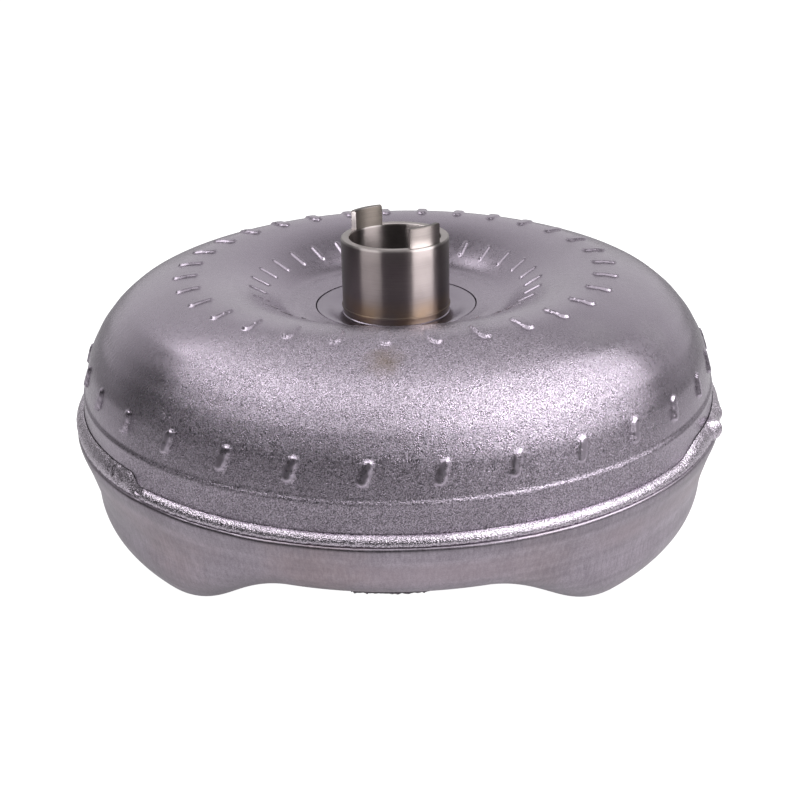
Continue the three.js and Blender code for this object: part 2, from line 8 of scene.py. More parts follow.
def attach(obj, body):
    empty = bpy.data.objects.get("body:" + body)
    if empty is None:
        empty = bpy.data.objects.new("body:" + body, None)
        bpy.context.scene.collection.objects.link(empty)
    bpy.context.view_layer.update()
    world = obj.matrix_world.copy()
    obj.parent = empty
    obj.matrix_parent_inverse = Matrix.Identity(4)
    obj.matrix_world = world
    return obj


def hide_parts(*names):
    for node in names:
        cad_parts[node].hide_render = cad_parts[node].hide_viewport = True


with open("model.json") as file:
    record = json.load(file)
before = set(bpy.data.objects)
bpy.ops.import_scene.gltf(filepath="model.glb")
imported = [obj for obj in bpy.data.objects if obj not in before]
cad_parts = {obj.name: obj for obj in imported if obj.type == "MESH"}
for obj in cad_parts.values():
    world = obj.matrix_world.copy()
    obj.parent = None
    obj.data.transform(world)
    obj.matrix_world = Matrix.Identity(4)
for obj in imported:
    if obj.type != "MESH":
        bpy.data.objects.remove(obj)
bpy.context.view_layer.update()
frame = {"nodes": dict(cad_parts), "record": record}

MM = 0.001
RAD = math.pi / 180
scene = bpy.context.scene

# ------------------------------------------------------------------ camera
cam_data = bpy.data.cameras.new("camera")
cam = bpy.data.objects.new("camera", cam_data)
scene.collection.objects.link(cam)
cam_data.sensor_width = 36.0
cam_data.lens = 59.74
cam_data.clip_start = 0.01
cam_data.clip_end = 50
cam.location = (0.00079, -0.53728, 0.19949 + 0.076)
rot = Euler((67.078 * RAD, 0, 0)).to_matrix() @ Matrix.Rotation(-1.122 * RAD, 3, 'Z')
cam.rotation_euler = rot.to_euler()
scene.camera = cam

# ------------------------------------------------------------------ node helpers
class Mat:
    """A small wrapper for building a procedural material."""
    def __init__(self, name, metallic=1.0, rough=0.4, color=(0.5, 0.5, 0.5), **sockets):
        self.m = bpy.data.materials.new(name)
        self.m.use_nodes = True
        self.t = self.m.node_tree
        self.b = self.t.nodes["Principled BSDF"]
        self.b.inputs["Metallic"].default_value = metallic
        self.b.inputs["Roughness"].default_value = rough
        self.b.inputs["Base Color"].default_value = (*color, 1)
        for k, v in sockets.items():
            self.b.inputs[k.replace("_", " ")].default_value = v
        self.coord = self.t.nodes.new("ShaderNodeTexCoord").outputs["Object"]

    def node(self, kind, **props):
        n = self.t.nodes.new(kind)
        for k, v in props.items():
            setattr(n, k, v)
        return n

    def put(self, node, socket, value):
        if hasattr(value, "is_linked") or isinstance(value, bpy.types.NodeSocket):
            self.t.links.new(value, node.inputs[socket])
        else:
            node.inputs[socket].default_value = value

    def noise(self, scale, detail=2.0, rough=0.5, vec=None, distortion=0.0):
        n = self.node("ShaderNodeTexNoise")
        n.inputs["Scale"].default_value = scale
        n.inputs["Detail"].default_value = detail
        n.inputs["Roughness"].default_value = rough
        n.inputs["Distortion"].default_value = distortion
        self.t.links.new(vec or self.coord, n.inputs["Vector"])
        return n.outputs["Fac"]

    def voronoi(self, scale, vec=None, feature="F1"):
        n = self.node("ShaderNodeTexVoronoi", feature=feature)
        n.inputs["Scale"].default_value = scale
        self.t.links.new(vec or self.coord, n.inputs["Vector"])
        return n.outputs["Distance"]

    def stretch(self, sx, sy, sz, vec=None):
        n = self.node("ShaderNodeMapping")
        n.inputs["Scale"].default_value = (sx, sy, sz)
        self.t.links.new(vec or self.coord, n.inputs["Vector"])
        return n.outputs["Vector"]

    def math(self, op, a, b=None, clamp=False):
        n = self.node("ShaderNodeMath", operation=op, use_clamp=clamp)
        self.put(n, 0, a)
        if b is not None:
            self.put(n, 1, b)
        return n.outputs[0]

    def ramp(self, fac, stops):
        n = self.node("ShaderNodeValToRGB")
        e = n.color_ramp.elements
        while len(e) < len(stops):
            e.new(0.5)
        for el, (p, c) in zip(e, stops):
            el.position = p
            el.color = (*c, 1) if len(c) == 3 else c
        self.t.links.new(fac, n.inputs["Fac"])
        return n.outputs["Color"]

    def mapr(self, v, a, b, c, d, smooth=False):
        n = self.node("ShaderNodeMapRange", interpolation_type="SMOOTHSTEP" if smooth else "LINEAR")
        self.put(n, "Value", v)
        for k, x in zip(("From Min", "From Max", "To Min", "To Max"), (a, b, c, d)):
            n.inputs[k].default_value = x
        return n.outputs["Result"]

    def mix(self, fac, a, b, blend="MIX"):
        n = self.node("ShaderNodeMix", data_type="RGBA", blend_type=blend)
        self.put(n, 0, fac)
        for i, v in ((6, a), (7, b)):
            if isinstance(v, bpy.types.NodeSocket):
                self.t.links.new(v, n.inputs[i])
            else:
                n.inputs[i].default_value = (*v, 1)
        return n.outputs[2]

    def separate(self):
        n = self.node("ShaderNodeSeparateXYZ")
        self.t.links.new(self.coord, n.inputs[0])
        return n.outputs

    def blob(self, x, y, z, radius, soft=1.0):
        """1 at a point of the surface, falling to 0 at radius, ragged by noise."""
        c = self.node("ShaderNodeCombineXYZ")
        for i, v in enumerate((x, y, z)):
            c.inputs[i].default_value = v
        d = self.node("ShaderNodeVectorMath", operation="DISTANCE")
        self.t.links.new(self.coord, d.inputs[0])
        self.t.links.new(c.outputs[0], d.inputs[1])
        ragged = self.math("MULTIPLY", self.noise(180, 3), radius * 0.9)
        return self.mapr(self.math("ADD", d.outputs["Value"], self.math("SUBTRACT", ragged, radius * 0.45)), 0, radius, 1, 0, True)

    def color(self, sock):
        self.t.links.new(sock, self.b.inputs["Base Color"])

    def rough(self, sock):
        self.t.links.new(sock, self.b.inputs["Roughness"])

    def bump(self, height, strength, distance, prev=None):
        n = self.node("ShaderNodeBump")
        n.inputs["Strength"].default_value = strength
        n.inputs["Distance"].default_value = distance
        self.t.links.new(height, n.inputs["Height"])
        if prev is not None:
            self.t.links.new(prev, n.inputs["Normal"])
        self.last = n.outputs["Normal"]
        self.t.links.new(self.last, self.b.inputs["Normal"])
        return self.last


def blasted(name, color, grain=0.55, rough=0.42, stains_and_highlights=(), local=False, uneven=0.0, marks=None):
    """Shot-blasted steel: a fine sparkling grain over a soft, slightly uneven grey."""
    m = Mat(name, rough=rough)
    cloud = m.noise(14, 4, 0.6)
    fine = m.noise(2300, 1, 0.6)
    mid = m.noise(1100, 2, 0.7)
    c0 = tuple(v * 0.90 for v in color)
    c1 = tuple(min(1, v * 1.08) for v in color)
    col = m.ramp(cloud, [(0.3, c0), (0.7, c1)])
    amount = grain
    if local:
        # the coarse grain lies over one side of the dome, the rest is wiped smoother
        xyz = m.separate()
        ragged = m.math("MULTIPLY", m.math("SUBTRACT", m.noise(30, 3), 0.5), 0.03)
        side = m.mapr(m.math("ADD", xyz[1], ragged), -0.100, -0.066, 1.0, 0.11, True)
        amount = m.math("MULTIPLY", side, grain)
    struck_and_highlight = None
    if marks:
        a = m.node("ShaderNodeAttribute", attribute_name=marks)
        struck_and_highlight = a.outputs["Fac"]
        amount = m.math("MULTIPLY", amount, m.mapr(struck_and_highlight, 0.2, 0.8, 1.0, 0.35))
    spread = m.math("ADD", m.math("MULTIPLY", m.mapr(fine, 0.37, 0.63, -1.0, 1.0), 0.56),
                    m.math("MULTIPLY", m.mapr(mid, 0.36, 0.64, -1.0, 1.0), 0.06))
    speck = m.math("ADD", m.math("MULTIPLY", spread, amount), 1.0)
    n = m.node("ShaderNodeMix", data_type="RGBA", blend_type="MULTIPLY")
    n.inputs[0].default_value = 1.0
    m.t.links.new(col, n.inputs[6])
    cc = m.node("ShaderNodeCombineColor")
    for i in range(3):
        m.t.links.new(speck, cc.inputs[i])
    m.t.links.new(cc.outputs[0], n.inputs[7])
    col = n.outputs[2]
    # spots mixed into the colour: real stains, and on the shell two pale spots that are painted highlight
    for (x, y, z, r, tint, amt) in stains_and_highlights:
        f = m.math("MULTIPLY", m.blob(x, y, z, r), amt)
        col = m.mix(f, col, tint)
    if uneven:
        # drawn and handled metal: upright hatching, soft bands round it and a darker strip at the top of the rim under
        # the weld's lip, which is painted shade
        z = m.separate()[2]
        hatch = m.mapr(m.noise(1.0, 2, 0.6, m.stretch(1000, 1000, 110)), 0.35, 0.65, 1 - 0.13 * uneven, 1 + 0.13 * uneven)
        bands = m.mapr(m.noise(1.0, 3, 0.6, m.stretch(16, 16, 330)), 0.35, 0.65, 1 - 0.12 * uneven, 1 + 0.12 * uneven)
        patch = m.mapr(m.noise(70, 4, 0.65), 0.35, 0.65, 1 - 0.10 * uneven, 1 + 0.10 * uneven)
        # the top of the rim just under the weld bead is darkened: painted shade
        painted_lip_shade = m.mapr(z, 0.0435, 0.0475, 1.0, 0.84, True)
        v = m.math("MULTIPLY", m.math("MULTIPLY", hatch, bands), m.math("MULTIPLY", patch, painted_lip_shade))
        cv = m.node("ShaderNodeCombineColor")
        for i in range(3):
            m.t.links.new(v, cv.inputs[i])
        col = m.mix(1.0, col, cv.outputs[0], "MULTIPLY")
        pink = m.math("MULTIPLY", m.mapr(z, 0.030, 0.037, 0.0, 1.0, True), m.mapr(z, 0.0405, 0.0455, 1.0, 0.0, True))
        col = m.mix(m.math("MULTIPLY", pink, m.mapr(m.noise(26, 3), 0.35, 0.6, 0.0, 0.45)), col, (0.43, 0.345, 0.385))
    # the punched tops of the outer marks are lightened: painted highlight
    if struck_and_highlight is not None:
        col = m.mix(m.math("MULTIPLY", struck_and_highlight, 0.75), col, tuple(min(1, v * 1.55) for v in color))
    m.color(col)
    m.rough(m.mapr(m.noise(420, 3, 0.6), 0.3, 0.7, rough - 0.03, rough + 0.05))
    prev = None
    if uneven:
        prev = m.bump(m.noise(38, 3, 0.55), 1.0, 0.0008 * uneven)
        prev = m.bump(m.noise(1.0, 3, 0.6, m.stretch(50, 50, 420)), 1.0, 0.00007 * uneven, prev)
    b = m.bump(m.math("MULTIPLY", mid, amount), 1.0, 0.00005, prev)
    m.bump(m.math("MULTIPLY", fine, amount), 1.0, 0.00026, b)
    return m


# spots in the shell's colour: a brown stain, a small dark nick, a darker patch on the left and two pale spots that are
# painted highlight
shell_stains_and_highlights = (
    (-0.0045, -0.1015, 0.1065, 0.010, (0.26, 0.195, 0.14), 0.6),      # faint brown stain on the crown
    (0.075, -0.075, 0.104, 0.016, (0.50, 0.46, 0.51), 0.35),      # pale spots on the right of the crown, this one and the next: painted highlight
    (0.098, -0.060, 0.098, 0.012, (0.52, 0.48, 0.53), 0.35),
    (0.055, -0.119, 0.070, 0.0012, (0.15, 0.13, 0.13), 0.9),      # small dark nick
    (-0.085, -0.03, 0.105, 0.022, (0.36, 0.315, 0.37), 0.35),
)
M_SHELL = blasted("blasted_shell_steel", (0.425, 0.372, 0.442), grain=1.0, rough=0.27, stains_and_highlights=shell_stains_and_highlights, local=True, marks="struck_and_highlight")
M_COVER = blasted("blasted_cover_steel", (0.415, 0.364, 0.424), grain=0.22, rough=0.33, uneven=0.75, stains_and_highlights=(
    (-0.03, -0.132, 0.038, 0.030, (0.42, 0.33, 0.35), 0.55), (0.05, -0.125, 0.036, 0.022, (0.42, 0.34, 0.365), 0.45),
    (-0.085, -0.098, 0.030, 0.024, (0.40, 0.315, 0.34), 0.5)))
M_WELD = blasted("blasted_weld_bead", (0.60, 0.535, 0.615), grain=0.9, rough=0.24)

# turned and ground steel of the hub, grooves run round the axis
def turned(name, color, rough=0.34, aniso=1.0, heat_and_edge_highlight=False, groove=4200, line=0.08):
    m = Mat(name, rough=rough, color=color, Anisotropic=aniso)
    t = m.node("ShaderNodeTangent", direction_type="RADIAL", axis="Z")
    m.t.links.new(t.outputs[0], m.b.inputs["Tangent"])
    m.b.inputs["Anisotropic Rotation"].default_value = 0.25
    lines = m.noise(1.0, 3, 0.6, m.stretch(60, 60, groove))
    cloud = m.noise(90, 4, 0.6)
    col = m.ramp(m.math("ADD", m.math("MULTIPLY", lines, 0.5), m.math("MULTIPLY", cloud, 0.5)),
                 [(0.35, tuple(v * 0.84 for v in color)), (0.65, tuple(min(1, v * 1.1) for v in color))])
    if heat_and_edge_highlight:
        z = m.separate()[2]
        low = m.mapr(z, 0.0950, 0.1030, 1.0, 0.0, True)
        patch = m.mapr(m.noise(55, 3, 0.5), 0.38, 0.62, 0.25, 1.0)
        f = m.math("MULTIPLY", m.math("MULTIPLY", low, patch), 0.6)
        col = m.mix(f, col, (0.21, 0.135, 0.070))
        # a lighter band round the top edge of the hub: painted highlight
        edge = m.mapr(z, 0.1215, 0.1226, 0.0, 0.35, True)
        col = m.mix(edge, col, (0.50, 0.46, 0.45))
    m.color(col)
    m.rough(m.mapr(m.math("ADD", m.math("MULTIPLY", lines, 0.6), m.math("MULTIPLY", cloud, 0.4)), 0.3, 0.7, rough - 0.05, rough + 0.10))
    m.bump(lines, line, 0.00002)
    return m

M_HUB = turned("turned_hub_steel", (0.150, 0.130, 0.128), heat_and_edge_highlight=True)
M_TANG = turned("milled_tang_steel", (0.155, 0.136, 0.130), rough=0.30, aniso=0.85, groove=1500, line=0.25)
# the faced top of the rim: a lighter copy of the dark hub steel, painted light on the up-facing faces
M_RIM_PAINTED_LIGHT = turned("faced_rim_steel_painted_lighter", (0.40, 0.36, 0.355), rough=0.36, aniso=0.2, groove=300, line=0.05)
# the tangs' inner faces: a darker copy of the hub steel, painted shade
M_TANG_IN_PAINTED_SHADE = turned("tang_bore_steel_painted_darker", (0.115, 0.098, 0.088), rough=0.36, aniso=0.4, groove=2600, line=0.35)
M_MACH = turned("machined_steel", (0.50, 0.49, 0.47), rough=0.30, aniso=0.5)
M_HARD = turned("hardened_steel", (0.40, 0.40, 0.42), rough=0.18, aniso=0.3)

def sheet_metal(name, color, rough=0.38, oil=0.4, braze=False):
    m = Mat(name, rough=rough, color=color)
    a = m.noise(35, 5, 0.65, distortion=0.4)
    g = m.noise(1.0, 2, 0.6, m.stretch(1500, 220, 900))
    col = m.ramp(a, [(0.3, tuple(v * 0.8 for v in color)), (0.7, tuple(min(1, v * 1.12) for v in color))])
    if braze:
        f = m.mapr(m.noise(70, 4, 0.6, distortion=0.8), 0.52, 0.66, 0.0, 0.75, True)
        col = m.mix(f, col, (0.62, 0.42, 0.22))
    m.color(col)
    m.rough(m.mapr(a, 0.3, 0.7, rough - 0.10 * oil, rough + 0.12))
    m.bump(g, 0.16, 0.00004)
    return m

M_SHEET = sheet_metal("cold_rolled_steel", (0.42, 0.43, 0.45))
M_BRAZED = sheet_metal("brazed_blade_steel", (0.46, 0.43, 0.39), rough=0.42, braze=True)
M_SPRING = sheet_metal("blued_spring_wire", (0.24, 0.26, 0.32), rough=0.26)

M_ALU = Mat("die_cast_aluminium", rough=0.42, color=(0.72, 0.73, 0.74))
_a = M_ALU.noise(60, 4, 0.6); _g = M_ALU.noise(700, 3, 0.7)
M_ALU.color(M_ALU.ramp(_a, [(0.3, (0.62, 0.63, 0.64)), (0.7, (0.78, 0.79, 0.80))]))
M_ALU.rough(M_ALU.mapr(_g, 0.3, 0.7, 0.34, 0.52)); M_ALU.bump(_g, 0.3, 0.00012)

M_FRICTION = Mat("paper_friction_lining", metallic=0.0, rough=0.9, color=(0.26, 0.20, 0.15), Specular_IOR_Level=0.25)
_a = M_FRICTION.voronoi(900); _g = M_FRICTION.noise(1600, 3, 0.7)
M_FRICTION.color(M_FRICTION.ramp(_g, [(0.3, (0.17, 0.125, 0.09)), (0.7, (0.34, 0.27, 0.20))]))
M_FRICTION.rough(M_FRICTION.mapr(_g, 0.3, 0.7, 0.8, 1.0)); M_FRICTION.bump(_a, 0.4, 0.0001)

M_SEAL = Mat("filled_seal_polymer", metallic=0.0, rough=0.5, color=(0.03, 0.03, 0.032))
_g = M_SEAL.noise(900, 3, 0.6)
M_SEAL.color(M_SEAL.ramp(_g, [(0.3, (0.02, 0.02, 0.022)), (0.7, (0.05, 0.05, 0.052))]))
M_SEAL.rough(M_SEAL.mapr(_g, 0.3, 0.7, 0.42, 0.6)); M_SEAL.bump(_g, 0.15, 0.00005)

M_BRONZE = Mat("sintered_bronze", rough=0.36, color=(0.62, 0.45, 0.22))
_g = M_BRONZE.noise(1300, 3, 0.7); _a = M_BRONZE.noise(45, 3)
M_BRONZE.color(M_BRONZE.ramp(_a, [(0.3, (0.50, 0.35, 0.17)), (0.7, (0.70, 0.52, 0.28))]))
M_BRONZE.rough(M_BRONZE.mapr(_g, 0.3, 0.7, 0.28, 0.5)); M_BRONZE.bump(_g, 0.25, 0.00008)

# ------------------------------------------------------------------ mesh helpers
def make(name, verts, faces, mats, smooth=35, face_mat=None, clean=True):
    me = bpy.data.meshes.new(name)
    me.from_pydata([tuple(v) for v in np.asarray(verts, float) * MM], [], [list(f) for f in faces])
    for m in mats:
        me.materials.append(m.m)
    if face_mat is not None:
        me.polygons.foreach_set("material_index", np.asarray(face_mat, np.int32))
    ob = bpy.data.objects.new(name, me)
    scene.collection.objects.link(ob)
    bm = bmesh.new(); bm.from_mesh(me)
    if clean:
        bmesh.ops.remove_doubles(bm, verts=bm.verts, dist=1e-7)
        bmesh.ops.dissolve_degenerate(bm, dist=1e-7, edges=bm.edges)
    bmesh.ops.recalc_face_normals(bm, faces=bm.faces)
    if bm.calc_volume(signed=True) < 0:
        bmesh.ops.reverse_faces(bm, faces=bm.faces)
    bm.to_mesh(me); bm.free()
    me.polygons.foreach_set("use_smooth", np.ones(len(me.polygons), bool))
    if smooth < 180:
        me.set_sharp_from_angle(angle=smooth * RAD)
    me.update()
    return ob


def polar(r, phi, z):
    return np.stack([r * np.sin(phi), -r * np.cos(phi), z], -1)


def grid_faces(rows, cols, wrap_rows=True, wrap_cols=True):
    """Quads of a rows x cols vertex grid, rows round the profile and cols round the axis."""
    r = np.arange(rows if wrap_rows else rows - 1)
    c = np.arange(cols if wrap_cols else cols - 1)
    R, C = np.meshgrid(r, c, indexing="ij")
    R2, C2 = (R + 1) % rows, (C + 1) % cols
    return np.stack([R * cols + C, R * cols + C2, R2 * cols + C2, R2 * cols + C], -1).reshape(-1, 4)


def revolve(name, profile, mats, segs=192, smooth=35, mat_of=None):
    """A closed ring or a solid of revolution from (r, z) points; ends on the axis are closed as fans."""
    p = np.array(profile, float)
    phi = np.linspace(0, 2 * np.pi, segs, endpoint=False)
    on_axis = p[0, 0] < 1e-6 and p[-1, 0] < 1e-6
    V = polar(p[:, 0][:, None], phi[None, :], np.repeat(p[:, 1][:, None], segs, 1)).reshape(-1, 3)
    F = grid_faces(len(p), segs, wrap_rows=not on_axis)
    fm = None
    if mat_of is not None:
        rows = len(p) - 1 if on_axis else len(p)
        fm = np.repeat([mat_of(p[i], p[(i + 1) % len(p)]) for i in range(rows)], segs)
    return make(name, V, F, mats, smooth, fm, clean=True if on_axis else True)


def chamfer(profile, c=0.3, closed=True, skip=()):
    """Cuts each corner of a (r, z) loop by c, so that edges catch the light."""
    p = [np.array(q, float) for q in profile]
    out, n = [], len(p)
    for i in range(n):
        if (not closed and i in (0, n - 1)) or i in skip or p[i][0] < 1e-6:
            out.append(p[i]); continue
        a, b, d = p[i - 1], p[i], p[(i + 1) % n]
        u, w = a - b, d - b
        lu, lw = np.linalg.norm(u), np.linalg.norm(w)
        cosang = np.dot(u, w) / (lu * lw)
        if cosang < -0.94:
            out.append(b); continue
        k = min(c, lu * 0.4, lw * 0.4)
        out.append(b + u / lu * k); out.append(b + w / lw * k)
    return out


def spline(pts, step=1.0, n=None):
    """Centripetal-like Catmull-Rom through the points, resampled."""
    P = np.array(pts, float)
    Q = np.vstack([2 * P[0] - P[1], P, 2 * P[-1] - P[-2]])
    out = []
    for i in range(1, len(Q) - 2):
        p0, p1, p2, p3 = Q[i - 1:i + 3]
        L = np.linalg.norm(p2 - p1)
        k = max(2, int(round(L / step)))
        t = np.linspace(0, 1, k, endpoint=False)[:, None]
        d1 = (p2 - p0) * L / (np.linalg.norm(p2 - p1) + np.linalg.norm(p1 - p0))
        d2 = (p3 - p1) * L / (np.linalg.norm(p2 - p1) + np.linalg.norm(p3 - p2))
        h = (2 * t**3 - 3 * t**2 + 1) * p1 + (t**3 - 2 * t**2 + t) * d1 + (-2 * t**3 + 3 * t**2) * p2 + (t**3 - t**2) * d2
        out.append(h)
    out.append(P[-1:])
    return np.vstack(out)


def smoothstep(t):
    t = np.clip(t, 0, 1)
    return t * t * (3 - 2 * t)


def arc_length(P):
    return np.concatenate([[0], np.cumsum(np.linalg.norm(np.diff(P, axis=0), axis=1))])


def resample(P, s_new):
    s = arc_length(P)
    return np.stack([np.interp(s_new, s, P[:, 0]), np.interp(s_new, s, P[:, 1])], -1)


def wave(phi, seed, count, amp):
    """Smooth seeded ripple round the axis, exactly periodic."""
    rng = np.random.default_rng(seed)
    out = np.zeros_like(phi)
    for k in count:
        out += rng.normal() * np.cos(k * phi + rng.uniform(0, 2 * np.pi))
    return amp * out / math.sqrt(len(count))


def offset_line(P, d):
    t = np.gradient(P, axis=0)
    t /= np.linalg.norm(t, axis=1)[:, None]
    return P + d * np.stack([t[:, 1], -t[:, 0]], -1)


done = []
def stand(ob, body, slot, *nodes):
    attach(ob, body)
    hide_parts(*nodes)
    done.extend(nodes)
    return ob

# ------------------------------------------------------------------ pump shell with its blade marks
def build_shell():
    dome = [(34.25, 93.5), (38.0, 94.2), (41.6, 94.85), (46.8, 95.45), (50.0, 97.1), (53.5, 99.5), (58.0, 102.3), (65.0, 106.0),
            (72.8, 108.6), (80.6, 109.9), (85.8, 110.1), (89.7, 109.75), (94.6, 108.5), (104.3, 105.2), (111.0, 102.0),
            (115.4, 98.75), (119.1, 95.5), (121.9, 92.25), (124.5, 89.0), (126.4, 85.75), (128.2, 82.5), (129.6, 79.25),
            (130.5, 76.0), (131.3, 72.75), (132.0, 69.5), (132.40, 67.4)]
    D = spline(dome, 0.25)
    sd = arc_length(D)
    def s_at(r, z):
        return sd[np.argmin((D[:, 0] - r) ** 2 + (D[:, 1] - z) ** 2)]
    marks = [  # arc position, phase deg, length, width, height, lean (mm round the axis per mm along the wall, downwards)
        (s_at(58.0, 102.3), -3.37, 8.8, 1.9, 0.60, 0.12, 0.60),
        (s_at(87.7, 110.0), -2.83, 10.6, 4.3, 0.85, 0.10, 0.75),
        (s_at(130.0, 76.0), -5.08, 9.4, 3.7, 1.10, -0.24, 0.75),
    ]
    s_list = [0.0]
    while s_list[-1] < sd[-1] - 0.3:
        s = s_list[-1]
        near = min(abs(s - m[0]) - m[2] / 2 for m in marks)
        s_list.append(s + (0.55 if near < 1.5 else 1.6))
    S = np.array(s_list); S[-1] = sd[-1]
    P = resample(D, S)
    T = np.gradient(P, axis=0); T /= np.linalg.norm(T, axis=1)[:, None]
    N = np.stack([-T[:, 1], T[:, 0]], -1)
    N[N[:, 1] < -0.2] *= -1
    cols = 31 * 36
    phi = np.linspace(0, 2 * np.pi, cols, endpoint=False)
    H = np.zeros((len(P), cols)); struck_highlight_amount = np.zeros((len(P), cols))
    pitch = 2 * np.pi / 31
    for (s0, phase, L, W, height, lean, edge) in marks:
        v = (S - s0)[:, None]
        r = P[:, 0][:, None]
        d = (phi[None, :] - phase * RAD + pitch / 2) % pitch - pitch / 2
        u = d * r - lean * v
        half = L / 2 - W / 2
        dist = np.hypot(u, np.maximum(np.abs(v) - half, 0)) - W / 2
        # each mark is a little different, as hand-struck marks are
        k = np.round((phi[None, :] - phase * RAD) / pitch).astype(int) % 31
        var = 1 + 0.10 * np.sin(k * 12.9898 + s0)
        slope = 1 + (0.18 if s0 > 90 else 0.0) * v / half
        H += height * var * slope * smoothstep(0.5 - dist / edge)
        struck_highlight_amount = np.maximum(struck_highlight_amount, smoothstep(0.5 - (dist - 0.15) / 0.5) * (1.0 if s0 > 90 else 0.0))
    H += wave(phi, 3, range(2, 9), 0.04)[None, :] * smoothstep((S - 10) / 20)[:, None]
    R = P[:, 0][:, None] + N[:, 0][:, None] * H
    Z = P[:, 1][:, None] + N[:, 1][:, None] * H
    # rim bead, skirt and inside wall
    skirt = np.array([(132.62, 66.8), (132.95, 66.35), (133.25, 65.9), (133.42, 65.4), (133.45, 64.6), (133.45, 63.4), (133.55, 61.5), (133.85, 58.5), (134.0, 56.0), (134.0, 46.0), (133.6, 45.2), (131.4, 45.2), (131.0, 45.8)])
    inner = offset_line(spline([(p[0], p[1]) for p in dome[2:]], 6.0)[::-1], -3.0)
    inner = inner[inner[:, 0] < 130.2]
    tail = np.vstack([skirt, [(130.9, 62.0)], inner, [(37.5, 91.0), (34.25, 90.5)]])
    R = np.vstack([R, np.repeat(tail[:, 0][:, None], cols, 1)])
    Z = np.vstack([Z, np.repeat(tail[:, 1][:, None], cols, 1)])
    V = polar(R, np.repeat(phi[None, :], len(R), 0), Z).reshape(-1, 3)
    ob = make("impeller_shell_fine", V, grid_faces(len(R), cols), [M_SHELL], smooth=50, clean=False)
    # how much each point of the skin was pressed by the punch, for the finish: smoother grain on the marks, and a
    # painted highlight on the outer marks' tops
    struck_highlight_amount = np.vstack([struck_highlight_amount, np.zeros((len(tail), cols))]).reshape(-1)
    at = ob.data.attributes.new("struck_and_highlight", "FLOAT", "POINT")
    if len(ob.data.vertices) == len(struck_highlight_amount):
        at.data.foreach_set("value", struck_highlight_amount.astype(np.float32))
    else:
        raise ValueError("the shell's points were merged, so the marks can't be placed")
    return stand(ob, "housing", "blasted_steel", "impeller_shell")

build_shell()

# ------------------------------------------------------------------ front cover
FOOT_PHASE, FOOT_HALF, FOOT_SOFT = -2.3, 30.0, 13.7
def arc(cx, cz, r, a0, a1, n):
    a = np.linspace(a0, a1, n) * RAD
    return [(cx + r * math.cos(t), cz - r * math.sin(t)) for t in a]

